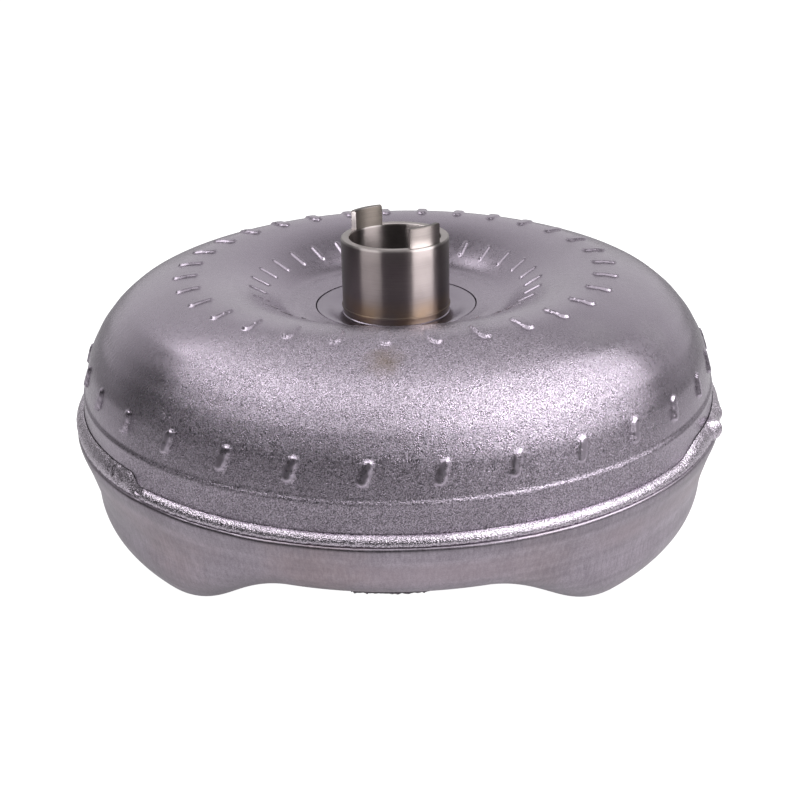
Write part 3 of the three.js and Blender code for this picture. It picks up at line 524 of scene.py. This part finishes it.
def build_cover():
    rim = [(134.35, 50.6), (136.2, 50.6), (136.75, 50.4), (137.1, 50.0), (137.3, 49.4), (137.35, 48.7), (137.25, 47.9), (137.0, 46.9), (136.5, 45.4), (135.95, 43.8), (135.4, 42.2)]
    flat = [(135.4, 42.2), (134.95, 41.0), (134.57, 39.8)] + arc(119.3, 40.2, 14.9, 10, 90, 20)
    foot = spline([(135.4, 42.2), (134.3, 38.6), (132.6, 32.5), (131.3, 27.0), (131.0, 24.5)], 1.0)[:-1].tolist() + arc(107.0, 24.0, 24.0, 0, 90, 24)
    flat_in = [(104, 25.3), (96, 25.2), (90, 25.1), (86, 25.0), (83, 24.9), (80, 24.8), (77, 24.8)]
    foot_in = [(100, 0.0), (90.5, 0.0)] + arc(90.5, 4.0, 4.0, 90, 170, 6)[1:] + [(84.6, 12.0), (82.6, 19.5)] + [(81.8, 22.6), (79.4, 24.4), (76.5, 24.8)]
    def n_pts(path, n):
        A = np.array(path, float); s = arc_length(A)
        return resample(A, np.linspace(0, s[-1], n))
    A1, B1 = n_pts(flat, 46), n_pts(foot, 46)
    A2, B2 = n_pts([flat[-1]] + flat_in, 44), n_pts([foot[-1]] + foot_in, 44)
    centre = np.array([(70, 24.8), (60, 24.8), (45, 24.8), (30, 24.8), (12.6, 24.8), (12.3, 25.1)])
    inner_top = np.array([(12.3, 28.8), (30, 28.8), (55, 28.8), (76, 28.8)])
    A3 = n_pts([(80, 28.8), (104, 28.8), (119.3, 28.8)] + arc(119.3, 40.2, 11.4, 90, 0, 8)[1:] + [(131.2, 42.6)], 30)
    B3 = n_pts([(84.0, 28.6), (86.2, 24.0), (89.5, 6.5), (92.5, 4.0), (107.0, 4.0)] + arc(107.0, 24.0, 20.0, 90, 0, 10)[1:] + [(129.0, 33.0), (131.2, 42.6)], 30)
    sock = np.array([(131.6, 43.2), (134.35, 44.4)])
    rim = np.array(rim)
    A = np.vstack([rim, A1[1:], A2[1:], centre, inner_top, A3, sock])
    B = np.vstack([rim, B1[1:], B2[1:], centre, inner_top, B3, sock])
    cols = 540
    phi = np.linspace(0, 2 * np.pi, cols, endpoint=False)
    w = np.zeros(cols)
    for c in (-60, 60, 180):
        d = np.abs((np.degrees(phi) - FOOT_PHASE - c + 540) % 360 - 180)
        # the right foot ends a little sooner on its far side
        far = (c == 60) & ((np.degrees(phi) - FOOT_PHASE - c + 540) % 360 > 180)
        half, soft = np.where(far, 24.5, FOOT_HALF), np.where(far, 11.0, FOOT_SOFT)
        w = np.maximum(w, smoothstep((half + soft - d) / (2 * soft)))
    R = A[:, 0][:, None] * (1 - w) + B[:, 0][:, None] * w
    Z = A[:, 1][:, None] * (1 - w) + B[:, 1][:, None] * w
    lip = np.exp(-((np.arange(len(A)) - 4) / 2.5) ** 2)[:, None]
    R = R + lip * (wave(phi, 11, range(3, 30), 0.10))[None, :]
    V = polar(R, np.repeat(phi[None, :], len(R), 0), Z).reshape(-1, 3)
    ob = make("front_cover_fine", V, grid_faces(len(R), cols), [M_COVER], smooth=50)
    # holes of the six threaded bosses
    cutters = []
    for f in range(3):
        for side in (-1, 1):
            a = (FOOT_PHASE - 60 + 120 * f + side * 11.5) * RAD
            x, y = 98.5 * math.sin(a), -98.5 * math.cos(a)
            c = revolve("cut", [(0, -3), (6.3, -3), (6.3, 0.0), (6.3, 9.0), (0, 9.0)], [M_MACH], 48)
            c.location = (x * MM, y * MM, 0)
            cutters.append(c)
    bpy.context.view_layer.update()
    for c in cutters:
        md = ob.modifiers.new("hole", "BOOLEAN")
        md.operation = "DIFFERENCE"; md.solver = "EXACT"; md.object = c
    dg = bpy.context.evaluated_depsgraph_get()
    me = bpy.data.meshes.new_from_object(ob.evaluated_get(dg))
    ob.modifiers.clear()
    old = ob.data
    ob.data = me
    bpy.data.meshes.remove(old)
    for c in cutters:
        bpy.data.objects.remove(c)
    me.materials.clear(); me.materials.append(M_COVER.m)
    me.polygons.foreach_set("use_smooth", np.ones(len(me.polygons), bool))
    me.set_sharp_from_angle(angle=50 * RAD)
    return stand(ob, "housing", "cover_steel", "front_cover")

build_cover()

# ------------------------------------------------------------------ closing weld
def build_weld():
    cols, rows = 1800, 22
    phi = np.linspace(0, 2 * np.pi, cols, endpoint=False)
    deg = (np.degrees(phi) + 180) % 360 - 180
    t = np.linspace(0, 1, rows)
    # bead outline from the top toe on the skirt, over its crown, to the undercut at the cover's lip
    def outline(pts):
        A = spline(pts, 0.2)
        arcp = resample(A, t * arc_length(A)[-1])
        tt = np.gradient(arcp, axis=0); tt /= np.linalg.norm(tt, axis=1)[:, None]
        return arcp, np.stack([-tt[:, 1], tt[:, 0]], -1)
    A, nA = outline([(134.15, 54.5), (134.8, 54.35), (135.7, 53.8), (136.4, 53.0), (136.8, 52.1), (136.75, 51.2), (136.4, 50.75)])
    B, nB = outline([(134.1, 58.8), (135.2, 57.6), (136.3, 55.9), (137.0, 54.0), (137.1, 52.2), (136.8, 51.1), (136.4, 50.75)])
    # over the run-out on the left and past the stops on the right the bead is broad and smooth
    wide = np.maximum(smoothstep((-46.3 - deg) / 2.2) * smoothstep((deg + 122) / 14), smoothstep((deg - 52) / 9) * smoothstep((112 - deg) / 14))[None, :]
    mixed = [A[:, i][:, None] * (1 - wide) + B[:, i][:, None] * wide for i in (0, 1)]
    nx = nA[:, 0][:, None] * (1 - wide) + nB[:, 0][:, None] * wide
    nz = nA[:, 1][:, None] * (1 - wide) + nB[:, 1][:, None] * wide
    R, Z = mixed
    k = (np.sin(np.pi * t) ** 0.7)[:, None]
    ripple = 0.045 * np.sin(phi[None, :] * 430 + 2.2 * (t[:, None] - 0.5) ** 2 * 6) + wave(phi, 5, range(40, 160, 3), 0.06)[None, :]
    slow = wave(phi, 8, range(2, 26), 0.10)[None, :]
    def near(centre, width):
        return np.exp(-(((deg - centre + 180) % 360 - 180) / width) ** 2)
    rng = np.random.default_rng(21)
    rough = np.zeros((rows, cols))
    for _ in range(60):
        c, w = rng.uniform(-55, -49.5), rng.uniform(0.4, 1.0)
        rough += rng.uniform(-0.75, 0.45) * near(c, w)[None, :] * np.exp(-((t[:, None] - rng.uniform(0.1, 0.95)) / 0.25) ** 2)
    for _ in range(40):
        c, w = rng.uniform(60, 80), rng.uniform(0.4, 1.2)
        rough += rng.uniform(-0.4, 0.6) * near(c, w)[None, :] * np.exp(-((t[:, None] - rng.uniform(0.1, 0.9)) / 0.28) ** 2)
    # the bead starts blunt after a hollow, with a crater and a broad smooth run-out before it
    lump = 1.3 * near(75.8, 1.3) + 3.2 * near(68.0, 1.5) + 0.3 * near(72.0, 2.0) + 0.5 * near(-82, 9) + 0.3 * near(-52.0, 2.2)
    hollow = -1.5 * smoothstep((1.9 - np.abs(deg + 46.6)) / 1.0)
    edge_wave = wave(phi, 15, range(60, 420, 7), 0.13)[None, :] * smoothstep((t[:, None] - 0.62) / 0.3)
    off = (ripple + slow + rough * 0.9 + lump[None, :] + hollow[None, :]) * k + edge_wave
    R = np.minimum(R + nx * off, 137.85 / np.maximum(np.abs(np.sin(phi)), np.abs(np.cos(phi)))[None, :]); Z = Z + nz * off
    back = np.array([(136.2, 50.65), (134.15, 50.65)])
    R = np.vstack([R, np.repeat(back[:, 0][:, None], cols, 1)]); Z = np.vstack([Z, np.repeat(back[:, 1][:, None], cols, 1)])
    V = polar(R, np.repeat(phi[None, :], len(R), 0), Z).reshape(-1, 3)
    ob = make("closing_weld_fine", V, grid_faces(len(R), cols), [M_WELD], smooth=60)
    return stand(ob, "housing", "weld_bead", "closing_weld")

build_weld()

# ------------------------------------------------------------------ welded balance weight
M_WEIGHT = blasted("weight_steel", (0.15, 0.13, 0.15), grain=0.8, rough=0.42)
def build_weight():
    n = 150
    deg = np.linspace(-8.6, 4.7, n)
    phi = deg * RAD
    rng = np.random.default_rng(5)
    jag = np.zeros(n)
    for _ in range(46):
        jag += rng.uniform(-0.45, 0.25) * np.exp(-((deg - rng.uniform(-8.6, 4.7)) / rng.uniform(0.12, 0.42)) ** 2)
    drop = 23.75 + np.clip(jag, -0.75, 0.4) + 0.7 * smoothstep((deg - 1.0) / 3.7) + 0.8 * smoothstep((-7.6 - deg) / 1.0)
    rows = [(112.0, 25.15, 0.0), (122.6, 25.2, 0.0), (122.9, 24.9, 0.3), (122.6, 24.3, 0.8), (121.8, 23.9, 1.0), (117.0, 23.8, 1.0), (113.0, 24.0, 0.8), (112.0, 24.6, 0.2)]
    R = np.array([np.full(n, q[0]) for q in rows])
    Z = np.array([q[1] + q[2] * (drop - 23.9) for q in rows])
    V = polar(R, np.repeat(phi[None, :], len(rows), 0), Z).reshape(-1, 3)
    F = grid_faces(len(rows), n, wrap_cols=False).tolist()
    F.append([i * n for i in range(len(rows))]); F.append([i * n + n - 1 for i in range(len(rows))][::-1])
    ob = make("balance_weight_fine", V, F, [M_WEIGHT], smooth=40)
    return stand(ob, "housing", "weld_bead", "balance_weight")

build_weight()

# ------------------------------------------------------------------ drive hub
def build_hub():
    top, high = 122.93, 131.06
    rows = [(19.16, 86.8), (19.5, 86.4), (33.6, 89.2), (33.95, 89.5), (33.95, 92.9), (33.7, 93.35), (33.2, 93.45), (28.0, 92.0), (24.2, 90.9), (22.9, 90.65), (22.5, 90.95),
            (22.45, 92.9), (22.6, 93.2), (23.05, 93.25), (23.12, 93.6), (23.05, 93.95), (22.78, 94.15), (22.7, 94.6),
            (22.7, 100.0), (22.7, 108.0), (22.7, 116.0), (22.7, top - 0.55), (22.66, top - 0.46), (22.28, top - 0.06), (22.18, top)]
    flange_rows = range(2, 10)
    cols_phi = [np.linspace(0, 360, 240, endpoint=False)]
    t0, t1 = 16.0, 58.6
    for base in (0, 180):
        cols_phi.append(np.array([t0, t0 + 0.02, t0 + 0.25, t0 + 0.7, t1 - 0.7, t1 - 0.25, t1 - 0.02, t1]) + base)
    deg = np.unique(np.round(np.concatenate(cols_phi) % 360, 4))
    def height(d):
        d = d % 180
        if d < t0 + 1e-9 or d > t1 - 1e-9:
            return top
        e = min(d - t0, t1 - d)
        return high - 0.45 * max(0, 1 - e / 0.7) ** 2
    H = np.array([height(d) for d in deg])
    tang = H > top + 1
    phi = deg * RAD
    R, Z = [], []
    for r, z in rows:
        R.append(np.full(len(deg), r)); Z.append(np.full(len(deg), z))
    for r, dz in ((21.55, 0.0), (21.5, 0.12), (21.5, 4.0), (21.5, -0.35), (21.2, 0.0), (20.0, 0.0), (19.5, 0.0), (19.16, -0.35), (19.16, -99.0)):
        R.append(np.full(len(deg), r))
        if (r, dz) == (21.55, 0.0):
            Z.append(np.full(len(deg), top))
        elif dz == -99.0:
            Z.append(np.full(len(deg), top - 0.42))
        elif dz > 0:
            Z.append(np.where(tang, top + dz, top - (0.0 if r > 19.3 else 0.3)))
        else:
            Z.append(np.where(tang, H + dz, top + (0.0 if r > 19.3 else -0.35)))
    for z in (118.0, 108.0, 98.0):
        R.append(np.full(len(deg), 19.16)); Z.append(np.full(len(deg), z))
    R, Z = np.array(R), np.array(Z)
    V = polar(R, np.repeat(phi[None, :], len(R), 0), Z).reshape(-1, 3)
    F = grid_faces(len(R), len(deg))
    fm = np.zeros(len(R), int)
    for i in flange_rows:
        fm[i] = 1
    fm = np.repeat(fm[:, None], len(deg), 1)
    on_tang = tang & np.roll(tang, -1)
    # the rim's top faces take the lighter copy, which is painted light
    fm[len(rows) - 1:len(rows) + 7] = np.where(on_tang, 2, 3)[None, :]
    # the tangs' inner faces take the darker copy, which is painted shade
    fm[len(rows) + 7] = 4
    fm = fm.reshape(-1)
    ob = make("pump_drive_hub_fine", V, F, [M_HUB, M_FLANGE, M_TANG, M_RIM_PAINTED_LIGHT, M_TANG_IN_PAINTED_SHADE], smooth=32, face_mat=fm, clean=False)
    me = ob.data
    bm = bmesh.new(); bm.from_mesh(me)
    bmesh.ops.remove_doubles(bm, verts=bm.verts, dist=2e-6)
    bmesh.ops.dissolve_degenerate(bm, dist=2e-6, edges=bm.edges)
    bmesh.ops.recalc_face_normals(bm, faces=bm.faces)
    bm.to_mesh(me); bm.free()
    me.polygons.foreach_set("use_smooth", np.ones(len(me.polygons), bool))
    me.set_sharp_from_angle(angle=32 * RAD)
    return stand(ob, "housing", "turned_steel", "pump_drive_hub")

M_FLANGE = blasted("turned_flange_steel", (0.37, 0.325, 0.388), grain=0.10, rough=0.22)
build_hub()

# ------------------------------------------------------------------ floor and light
floor_me = bpy.data.meshes.new("floor")
s = 6.0
floor_me.from_pydata([(-s, -s, -0.0003), (s, -s, -0.0003), (s, s, -0.0003), (-s, s, -0.0003)], [], [(0, 1, 2, 3)])
floor = bpy.data.objects.new("floor", floor_me)
scene.collection.objects.link(floor)
M_FLOOR = Mat("studio_floor", metallic=0.0, rough=0.9, color=(0.42, 0.42, 0.42), Specular_IOR_Level=0.0)
_len = M_FLOOR.node("ShaderNodeVectorMath", operation="LENGTH")
M_FLOOR.t.links.new(M_FLOOR.coord, _len.inputs[0])
_lp = M_FLOOR.node("ShaderNodeLightPath")
_near = M_FLOOR.mapr(_len.outputs["Value"], 0.12, 0.55, 0.30, 0.07, True)
_seen = M_FLOOR.mapr(_len.outputs["Value"], 0.15, 1.1, 1.0, 1.0, True)
_mf = M_FLOOR.node("ShaderNodeMix", data_type="FLOAT")
M_FLOOR.t.links.new(_lp.outputs["Is Camera Ray"], _mf.inputs[0])
M_FLOOR.t.links.new(_near, _mf.inputs[2]); M_FLOOR.t.links.new(_seen, _mf.inputs[3])
M_FLOOR.t.links.new(_mf.outputs[0], M_FLOOR.b.inputs["Emission Strength"])
M_FLOOR.b.inputs["Emission Color"].default_value = (1, 1, 1, 1)
M_FLOOR.color(M_FLOOR.ramp(M_FLOOR.noise(3, 2), [(0.2, (0.415, 0.415, 0.415)), (0.8, (0.425, 0.425, 0.425))]))
floor_me.materials.append(M_FLOOR.m)

def area(name, loc, target, sx, sy, power, color=(1, 1, 1)):
    d = bpy.data.lights.new(name, "AREA")
    d.shape = "RECTANGLE"; d.size = sx; d.size_y = sy; d.energy = power; d.color = color
    o = bpy.data.objects.new(name, d)
    scene.collection.objects.link(o)
    o.location = loc
    o.rotation_euler = (Vector(target) - Vector(loc)).to_track_quat("-Z", "Y").to_euler()
    return o

def around(az, el, dist):
    """A point seen from the middle of the dome, azimuth from the front towards the right."""
    a, e = az * RAD, el * RAD
    return (dist * math.cos(e) * math.sin(a), -dist * math.cos(e) * math.cos(a), 0.09 + dist * math.sin(e))

area("overhead", (0.05, -0.30, 1.02), (0.0, -0.06, 0.08), 1.5, 1.10, 6.1)
area("right_box", around(67, 37, 0.95), (0, 0, 0.09), 1.0, 0.50, 6.5)
area("left_box", around(-90, 54, 0.95), (0, 0, 0.09), 1.05, 0.34, 3.0)

# two cards shine on the turned hub alone
hub_only = bpy.data.collections.new("hub_only")
scene.collection.children.link(hub_only)
hub_only.objects.link(bpy.data.objects["pump_drive_hub_fine"])
for card in (area("hub_card_right", around(60, 12, 0.9), (0, 0, 0.11), 0.78, 0.30, 16.5),
             area("hub_card_left", around(-53, 12, 0.9), (0, 0, 0.11), 0.74, 0.24, 5.6)):
    card.light_linking.receiver_collection = hub_only

world = bpy.data.worlds.new("studio")
scene.world = world
world.use_nodes = True
wt = world.node_tree
bg = wt.nodes["Background"]
lp = wt.nodes.new("ShaderNodeLightPath")
wm = wt.nodes.new("ShaderNodeMix"); wm.data_type = "RGBA"
wt.links.new(lp.outputs["Is Camera Ray"], wm.inputs[0])
# soft studio surroundings: darker towards the front, brighter behind and above
wc = wt.nodes.new("ShaderNodeTexCoord")
ws = wt.nodes.new("ShaderNodeSeparateXYZ")
wt.links.new(wc.outputs["Generated"], ws.inputs[0])
def wmap(src, a, b, c, d):
    n = wt.nodes.new("ShaderNodeMapRange"); n.interpolation_type = "SMOOTHSTEP"
    wt.links.new(src, n.inputs["Value"])
    for k, v in zip(("From Min", "From Max", "To Min", "To Max"), (a, b, c, d)):
        n.inputs[k].default_value = v
    return n.outputs["Result"]
wadd = wt.nodes.new("ShaderNodeMath"); wadd.operation = "ADD"
wt.links.new(wmap(ws.outputs[1], 0.15, 0.95, 0.03, 0.74), wadd.inputs[0])
wt.links.new(wmap(ws.outputs[0], -0.2, 1.0, 0.0, 0.12), wadd.inputs[1])
wcc = wt.nodes.new("ShaderNodeCombineColor")
for i in range(3):
    wt.links.new(wadd.outputs[0], wcc.inputs[i])
wt.links.new(wcc.outputs[0], wm.inputs[6])
wm.inputs[7].default_value = (1.0, 1.0, 1.0, 1)
wt.links.new(wm.outputs[2], bg.inputs["Color"])
bg.inputs["Strength"].default_value = 1.0
scene.view_settings.view_transform = "Standard"
scene.view_settings.look = "None"

# ------------------------------------------------------------------ materials of the carried-over CAD pieces
BY_SLOT = {"blasted_steel": M_SHELL, "cover_steel": M_COVER, "weld_bead": M_WELD, "turned_steel": M_HUB, "machined_steel": M_MACH,
           "stamped_steel": M_SHEET, "brazed_steel": M_BRAZED, "cast_aluminium": M_ALU, "hardened_steel": M_HARD,
           "spring_steel": M_SPRING, "friction_paper": M_FRICTION, "seal_ring": M_SEAL, "bronze": M_BRONZE}
slot_of = {p["node"]: p["material_slot"] for p in frame["record"]["subparts"]}
for name, ob in frame["nodes"].items():
    if name in done:
        continue
    m = BY_SLOT[slot_of[name]].m
    if not ob.material_slots:
        ob.data.materials.append(m)
    for sl in ob.material_slots:
        sl.material = m
